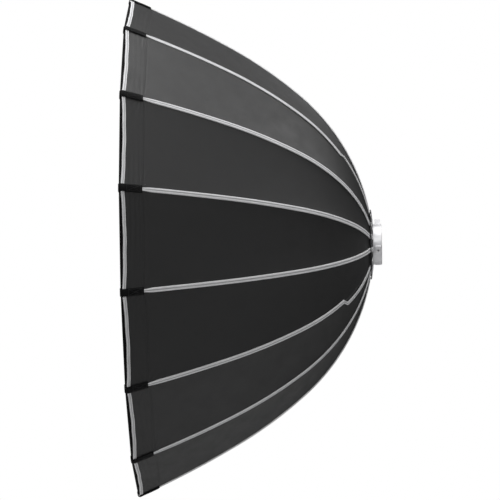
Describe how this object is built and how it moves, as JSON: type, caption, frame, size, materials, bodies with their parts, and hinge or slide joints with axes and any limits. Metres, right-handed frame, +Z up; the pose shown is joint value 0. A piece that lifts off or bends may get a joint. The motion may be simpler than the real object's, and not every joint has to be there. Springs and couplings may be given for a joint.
{
  "type": "octabox",
  "caption": "Deep parabolic softbox that folds like an umbrella: curved ribs on a quick-release hub, black cloth shell with light seams, front diffuser and bayonet ring.",
  "frame": {"origin": "centre of the mount ring's rear face, on the optical axis", "axes": "+X along the optical axis towards the lamp, so the front faces -X; +Z up; the side seen first is -Y"},
  "size_m": [0.5911, 1.18, 1.18],
  "materials": {
    "satin_aluminium": "satin turned and bead-blasted",
    "zinc_steel": "zinc plated",
    "black_nylon": "glass-filled nylon, fine texture",
    "grey_nylon": "moulded, matt",
    "red_plastic": "moulded, matt",
    "glass_fibre": "pultruded glass fibre with a clear coat",
    "black_cloth": "plain-woven nylon, black outside and silver inside",
    "diffuser_cloth": "white translucent nylon",
    "silver_cloth": "silver coated lining",
    "seam_tape": "grosgrain tape, light grey",
    "webbing": "black webbing"
  },
  "bodies": {
    "root": {"mount_ring": "satin_aluminium", "ring_screws": "zinc_steel", "hub_body": "black_nylon", "hinge_pins": "zinc_steel", "hub_cover": "black_nylon", "cover_screws": "zinc_steel", "button_springs": "zinc_steel", "rear_collar": "black_cloth"},
    "rib_01_arm": {"rib_01": "glass_fibre", "knuckle_01": "black_nylon"},
    "rib_02_arm": {"rib_02": "glass_fibre", "knuckle_02": "black_nylon"},
    "rib_03_arm": {"rib_03": "glass_fibre", "knuckle_03": "black_nylon"},
    "rib_04_arm": {"rib_04": "glass_fibre", "knuckle_04": "black_nylon"},
    "rib_05_arm": {"rib_05": "glass_fibre", "knuckle_05": "black_nylon"},
    "rib_06_arm": {"rib_06": "glass_fibre", "knuckle_06": "black_nylon"},
    "rib_07_arm": {"rib_07": "glass_fibre", "knuckle_07": "black_nylon"},
    "rib_08_arm": {"rib_08": "glass_fibre", "knuckle_08": "black_nylon"},
    "rib_09_arm": {"rib_09": "glass_fibre", "knuckle_09": "black_nylon"},
    "rib_10_arm": {"rib_10": "glass_fibre", "knuckle_10": "black_nylon"},
    "rib_11_arm": {"rib_11": "glass_fibre", "knuckle_11": "black_nylon"},
    "rib_12_arm": {"rib_12": "glass_fibre", "knuckle_12": "black_nylon"},
    "rib_13_arm": {"rib_13": "glass_fibre", "knuckle_13": "black_nylon"},
    "rib_14_arm": {"rib_14": "glass_fibre", "knuckle_14": "black_nylon"},
    "rib_15_arm": {"rib_15": "glass_fibre", "knuckle_15": "black_nylon"},
    "rib_16_arm": {"rib_16": "glass_fibre", "knuckle_16": "black_nylon"},
    "panel_01_cloth": {"panel_01": "black_cloth"},
    "panel_02_cloth": {"panel_02": "black_cloth"},
    "panel_03_cloth": {"panel_03": "black_cloth"},
    "panel_04_cloth": {"panel_04": "black_cloth"},
    "panel_05_cloth": {"panel_05": "black_cloth"},
    "panel_06_cloth": {"panel_06": "black_cloth"},
    "panel_07_cloth": {"panel_07": "black_cloth"},
    "panel_08_cloth": {"panel_08": "black_cloth"},
    "panel_09_cloth": {"panel_09": "black_cloth"},
    "panel_10_cloth": {"panel_10": "black_cloth"},
    "panel_11_cloth": {"panel_11": "black_cloth"},
    "panel_12_cloth": {"panel_12": "black_cloth"},
    "panel_13_cloth": {"panel_13": "black_cloth"},
    "panel_14_cloth": {"panel_14": "black_cloth"},
    "panel_15_cloth": {"panel_15": "black_cloth"},
    "panel_16_cloth": {"panel_16": "black_cloth"},
    "slider": {"slide_ring": "grey_nylon"},
    "button_top": {"release_button_top": "red_plastic"},
    "button_bottom": {"release_button_bottom": "red_plastic"},
    "diffuser": {"front_diffuser": "diffuser_cloth"}
  },
  "joints": [
    {"name": "rib_01_fold", "type": "hinge", "parent": "root", "child": "rib_01_arm", "pos_m": [-0.041, -0.06096, 0.0113], "axis": [0, -0.1822, -0.9833], "range_deg": [0, 44], "deforming": ["panel_01", "panel_02", "panel_03", "panel_04", "panel_05", "panel_06", "panel_07", "panel_08", "panel_09", "panel_10", "panel_11", "panel_12", "panel_13", "panel_14", "panel_15", "panel_16"]},
    {"name": "rib_02_fold", "type": "hinge", "parent": "root", "child": "rib_02_arm", "pos_m": [-0.041, -0.052, 0.03377], "axis": [0, -0.5446, -0.8387], "range_deg": [0, 44]},
    {"name": "rib_03_fold", "type": "hinge", "parent": "root", "child": "rib_03_arm", "pos_m": [-0.041, -0.03512, 0.0511], "axis": [0, -0.8241, -0.5664], "range_deg": [0, 44]},
    {"name": "rib_04_fold", "type": "hinge", "parent": "root", "child": "rib_04_arm", "pos_m": [-0.041, -0.01289, 0.06064], "axis": [0, -0.9781, -0.2079], "range_deg": [0, 44]},
    {"name": "rib_05_fold", "type": "hinge", "parent": "root", "child": "rib_05_arm", "pos_m": [-0.041, 0.0113, 0.06096], "axis": [0, -0.9833, 0.1822], "range_deg": [0, 44]},
    {"name": "rib_06_fold", "type": "hinge", "parent": "root", "child": "rib_06_arm", "pos_m": [-0.041, 0.03377, 0.052], "axis": [0, -0.8387, 0.5446], "range_deg": [0, 44]},
    {"name": "rib_07_fold", "type": "hinge", "parent": "root", "child": "rib_07_arm", "pos_m": [-0.041, 0.0511, 0.03512], "axis": [0, -0.5664, 0.8241], "range_deg": [0, 44]},
    {"name": "rib_08_fold", "type": "hinge", "parent": "root", "child": "rib_08_arm", "pos_m": [-0.041, 0.06064, 0.01289], "axis": [0, -0.2079, 0.9781], "range_deg": [0, 44]},
    {"name": "rib_09_fold", "type": "hinge", "parent": "root", "child": "rib_09_arm", "pos_m": [-0.041, 0.06096, -0.0113], "axis": [0, 0.1822, 0.9833], "range_deg": [0, 44]},
    {"name": "rib_10_fold", "type": "hinge", "parent": "root", "child": "rib_10_arm", "pos_m": [-0.041, 0.052, -0.03377], "axis": [0, 0.5446, 0.8387], "range_deg": [0, 44]},
    {"name": "rib_11_fold", "type": "hinge", "parent": "root", "child": "rib_11_arm", "pos_m": [-0.041, 0.03512, -0.0511], "axis": [0, 0.8241, 0.5664], "range_deg": [0, 44]},
    {"name": "rib_12_fold", "type": "hinge", "parent": "root", "child": "rib_12_arm", "pos_m": [-0.041, 0.01289, -0.06064], "axis": [0, 0.9781, 0.2079], "range_deg": [0, 44]},
    {"name": "rib_13_fold", "type": "hinge", "parent": "root", "child": "rib_13_arm", "pos_m": [-0.041, -0.0113, -0.06096], "axis": [0, 0.9833, -0.1822], "range_deg": [0, 44]},
    {"name": "rib_14_fold", "type": "hinge", "parent": "root", "child": "rib_14_arm", "pos_m": [-0.041, -0.03377, -0.052], "axis": [0, 0.8387, -0.5446], "range_deg": [0, 44]},
    {"name": "rib_15_fold", "type": "hinge", "parent": "root", "child": "rib_15_arm", "pos_m": [-0.041, -0.0511, -0.03512], "axis": [0, 0.5664, -0.8241], "range_deg": [0, 44]},
    {"name": "rib_16_fold", "type": "hinge", "parent": "root", "child": "rib_16_arm", "pos_m": [-0.041, -0.06064, -0.01289], "axis": [0, 0.2079, -0.9781], "range_deg": [0, 44]},
    {"name": "panel_01_gather", "type": "hinge", "parent": "rib_01_arm", "child": "panel_01_cloth", "pos_m": [-0.041, -0.05871, 0.02343], "axis": [0.3684, -0.8635, 0.3445], "range_deg": [0, 16.78]},
    {"name": "panel_02_gather", "type": "hinge", "parent": "rib_02_arm", "child": "panel_02_cloth", "pos_m": [-0.041, -0.04528, 0.04411], "axis": [0.3684, -0.6659, 0.6487], "range_deg": [0, 16.78]},
    {"name": "panel_03_gather", "type": "hinge", "parent": "rib_03_arm", "child": "panel_03_cloth", "pos_m": [-0.041, -0.02495, 0.05808], "axis": [0.3684, -0.367, 0.8542], "range_deg": [0, 16.78]},
    {"name": "panel_04_gather", "type": "hinge", "parent": "rib_04_arm", "child": "panel_04_cloth", "pos_m": [-0.041, -0.00083, 0.06321], "axis": [0.3684, -0.0122, 0.9296], "range_deg": [0, 16.78]},
    {"name": "panel_05_gather", "type": "hinge", "parent": "rib_05_arm", "child": "panel_05_cloth", "pos_m": [-0.041, 0.02343, 0.05871], "axis": [0.3684, 0.3445, 0.8635], "range_deg": [0, 16.78]},
    {"name": "panel_06_gather", "type": "hinge", "parent": "rib_06_arm", "child": "panel_06_cloth", "pos_m": [-0.041, 0.04411, 0.04528], "axis": [0.3684, 0.6487, 0.6659], "range_deg": [0, 16.78]},
    {"name": "panel_07_gather", "type": "hinge", "parent": "rib_07_arm", "child": "panel_07_cloth", "pos_m": [-0.041, 0.05808, 0.02495], "axis": [0.3684, 0.8542, 0.367], "range_deg": [0, 16.78]},
    {"name": "panel_08_gather", "type": "hinge", "parent": "rib_08_arm", "child": "panel_08_cloth", "pos_m": [-0.041, 0.06321, 0.00083], "axis": [0.3684, 0.9296, 0.0122], "range_deg": [0, 16.78]},
    {"name": "panel_09_gather", "type": "hinge", "parent": "rib_09_arm", "child": "panel_09_cloth", "pos_m": [-0.041, 0.05871, -0.02343], "axis": [0.3684, 0.8635, -0.3445], "range_deg": [0, 16.78]},
    {"name": "panel_10_gather", "type": "hinge", "parent": "rib_10_arm", "child": "panel_10_cloth", "pos_m": [-0.041, 0.04528, -0.04411], "axis": [0.3684, 0.6659, -0.6487], "range_deg": [0, 16.78]},
    {"name": "panel_11_gather", "type": "hinge", "parent": "rib_11_arm", "child": "panel_11_cloth", "pos_m": [-0.041, 0.02495, -0.05808], "axis": [0.3684, 0.367, -0.8542], "range_deg": [0, 16.78]},
    {"name": "panel_12_gather", "type": "hinge", "parent": "rib_12_arm", "child": "panel_12_cloth", "pos_m": [-0.041, 0.00083, -0.06321], "axis": [0.3684, 0.0122, -0.9296], "range_deg": [0, 16.78]},
    {"name": "panel_13_gather", "type": "hinge", "parent": "rib_13_arm", "child": "panel_13_cloth", "pos_m": [-0.041, -0.02343, -0.05871], "axis": [0.3684, -0.3445, -0.8635], "range_deg": [0, 16.78]},
    {"name": "panel_14_gather", "type": "hinge", "parent": "rib_14_arm", "child": "panel_14_cloth", "pos_m": [-0.041, -0.04411, -0.04528], "axis": [0.3684, -0.6487, -0.6659], "range_deg": [0, 16.78]},
    {"name": "panel_15_gather", "type": "hinge", "parent": "rib_15_arm", "child": "panel_15_cloth", "pos_m": [-0.041, -0.05808, -0.02495], "axis": [0.3684, -0.8542, -0.367], "range_deg": [0, 16.78]},
    {"name": "panel_16_gather", "type": "hinge", "parent": "rib_16_arm", "child": "panel_16_cloth", "pos_m": [-0.041, -0.06321, -0.00083], "axis": [0.3684, -0.9296, -0.0122], "range_deg": [0, 16.78]},
    {"name": "ring_slide", "type": "slide", "parent": "root", "child": "slider", "axis": [1, 0, 0], "range_m": [0, 0.00919]},
    {"name": "diffuser_lift_off", "type": "slide", "parent": "root", "child": "diffuser", "axis": [-1, 0, 0], "range_m": [0, 0.4464]},
    {"name": "button_top_press", "type": "slide", "parent": "root", "child": "button_top", "axis": [1, 0, 0], "range_m": [0, 0.003], "stiffness_N_per_m": 900, "springref_m": -0.001, "deforming": ["button_springs"]},
    {"name": "button_bottom_press", "type": "slide", "parent": "root", "child": "button_bottom", "axis": [1, 0, 0], "range_m": [0, 0.003], "stiffness_N_per_m": 900, "springref_m": -0.001, "deforming": ["button_springs"]}
  ],
  "couplings": [
    {"joint": "rib_02_fold", "follows": "rib_01_fold", "ratio": 1},
    {"joint": "rib_03_fold", "follows": "rib_01_fold", "ratio": 1},
    {"joint": "rib_04_fold", "follows": "rib_01_fold", "ratio": 1},
    {"joint": "rib_05_fold", "follows": "rib_01_fold", "ratio": 1},
    {"joint": "rib_06_fold", "follows": "rib_01_fold", "ratio": 1},
    {"joint": "rib_07_fold", "follows": "rib_01_fold", "ratio": 1},
    {"joint": "rib_08_fold", "follows": "rib_01_fold", "ratio": 1},
    {"joint": "rib_09_fold", "follows": "rib_01_fold", "ratio": 1},
    {"joint": "rib_10_fold", "follows": "rib_01_fold", "ratio": 1},
    {"joint": "rib_11_fold", "follows": "rib_01_fold", "ratio": 1},
    {"joint": "rib_12_fold", "follows": "rib_01_fold", "ratio": 1},
    {"joint": "rib_13_fold", "follows": "rib_01_fold", "ratio": 1},
    {"joint": "rib_14_fold", "follows": "rib_01_fold", "ratio": 1},
    {"joint": "rib_15_fold", "follows": "rib_01_fold", "ratio": 1},
    {"joint": "rib_16_fold", "follows": "rib_01_fold", "ratio": 1},
    {"joint": "panel_01_gather", "follows": "rib_01_fold", "ratio": 0.381},
    {"joint": "panel_02_gather", "follows": "rib_01_fold", "ratio": 0.381},
    {"joint": "panel_03_gather", "follows": "rib_01_fold", "ratio": 0.381},
    {"joint": "panel_04_gather", "follows": "rib_01_fold", "ratio": 0.381},
    {"joint": "panel_05_gather", "follows": "rib_01_fold", "ratio": 0.381},
    {"joint": "panel_06_gather", "follows": "rib_01_fold", "ratio": 0.381},
    {"joint": "panel_07_gather", "follows": "rib_01_fold", "ratio": 0.381},
    {"joint": "panel_08_gather", "follows": "rib_01_fold", "ratio": 0.381},
    {"joint": "panel_09_gather", "follows": "rib_01_fold", "ratio": 0.381},
    {"joint": "panel_10_gather", "follows": "rib_01_fold", "ratio": 0.381},
    {"joint": "panel_11_gather", "follows": "rib_01_fold", "ratio": 0.381},
    {"joint": "panel_12_gather", "follows": "rib_01_fold", "ratio": 0.381},
    {"joint": "panel_13_gather", "follows": "rib_01_fold", "ratio": 0.381},
    {"joint": "panel_14_gather", "follows": "rib_01_fold", "ratio": 0.381},
    {"joint": "panel_15_gather", "follows": "rib_01_fold", "ratio": 0.381},
    {"joint": "panel_16_gather", "follows": "rib_01_fold", "ratio": 0.381},
    {"joint": "ring_slide", "follows": "rib_01_fold", "m_per_rad": 0.011707},
    {"joint": "diffuser_lift_off", "follows": "rib_01_fold", "m_per_rad": 0.58}
  ]
}
